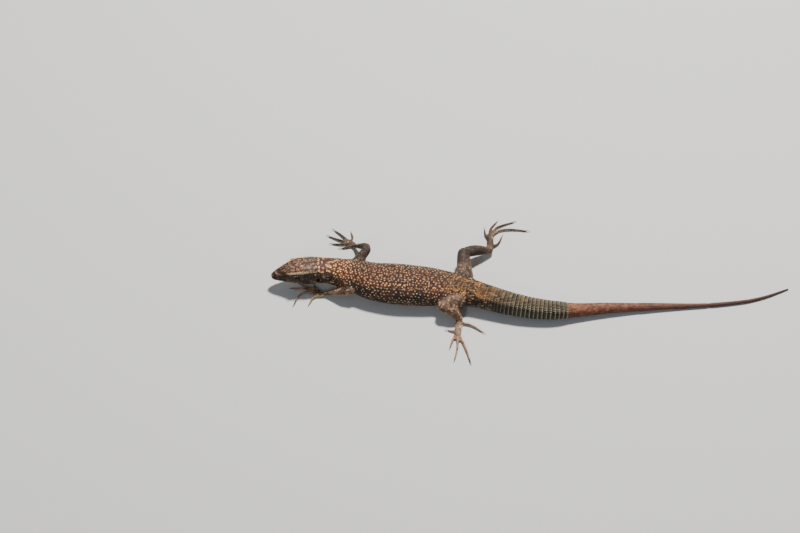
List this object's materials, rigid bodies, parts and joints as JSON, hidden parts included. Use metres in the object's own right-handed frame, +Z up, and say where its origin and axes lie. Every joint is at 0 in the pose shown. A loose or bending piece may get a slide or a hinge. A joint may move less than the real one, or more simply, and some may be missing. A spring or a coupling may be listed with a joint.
{
  "type": "wall lizard, still life-size model",
  "caption": "Wall lizard lying flat to bask, head raised, limbs spread, with a ringed tail base and a smooth regrown tail end; a still life-size animal model.",
  "frame": {"origin": "middle of the belly's contact flat, on the floor plane", "axes": "+Z up from the floor; +X towards the tail tip, so the head points to -X; the animal's left side is -Y"},
  "size_m": [0.1751, 0.0621, 0.0097],
  "materials": {
    "skin_head": "satin horny head shields, brown with dark specks and a pale brow line",
    "skin_body": "satin scales, copper brown with a dark net and pale dots, darker flanks",
    "skin_limbs": "satin fine scales, brown with pale specks",
    "skin_old_tail": "satin ringed scales, olive brown with pale ring edges",
    "skin_regrown_tail": "satin fine scales, plain copper red",
    "eye": "wet dark eyeball with a brown ring",
    "claw": "dark translucent horn"
  },
  "bodies": {
    "root": {"claw_foreleg_left_1": "claw", "claw_foreleg_left_2": "claw", "claw_foreleg_left_3": "claw", "claw_foreleg_left_4": "claw", "claw_foreleg_left_5": "claw", "claw_foreleg_right_1": "claw", "claw_foreleg_right_2": "claw", "claw_foreleg_right_3": "claw", "claw_foreleg_right_4": "claw", "claw_foreleg_right_5": "claw", "claw_hindleg_left_1": "claw", "claw_hindleg_left_2": "claw", "claw_hindleg_left_3": "claw", "claw_hindleg_left_4": "claw", "claw_hindleg_left_5": "claw", "claw_hindleg_right_1": "claw", "claw_hindleg_right_2": "claw", "claw_hindleg_right_3": "claw", "claw_hindleg_right_4": "claw", "claw_hindleg_right_5": "claw", "eye_left": "eye", "eye_right": "eye", "foreleg_left_foot": "skin_limbs", "foreleg_left_lower": "skin_limbs", "foreleg_left_upper": "skin_limbs", "foreleg_right_foot": "skin_limbs", "foreleg_right_lower": "skin_limbs", "foreleg_right_upper": "skin_limbs", "head": "skin_head", "hindleg_left_foot": "skin_limbs", "hindleg_left_lower": "skin_limbs", "hindleg_left_upper": "skin_limbs", "hindleg_right_foot": "skin_limbs", "hindleg_right_lower": "skin_limbs", "hindleg_right_upper": "skin_limbs", "lower_jaw": "skin_head", "neck": "skin_body", "tail_base": "skin_old_tail", "tail_regrown_middle": "skin_regrown_tail", "tail_regrown_root": "skin_regrown_tail", "tail_ringed": "skin_old_tail", "tail_tip": "skin_regrown_tail", "trunk_back": "skin_body", "trunk_front": "skin_body"}
  },
  "joints": []
}
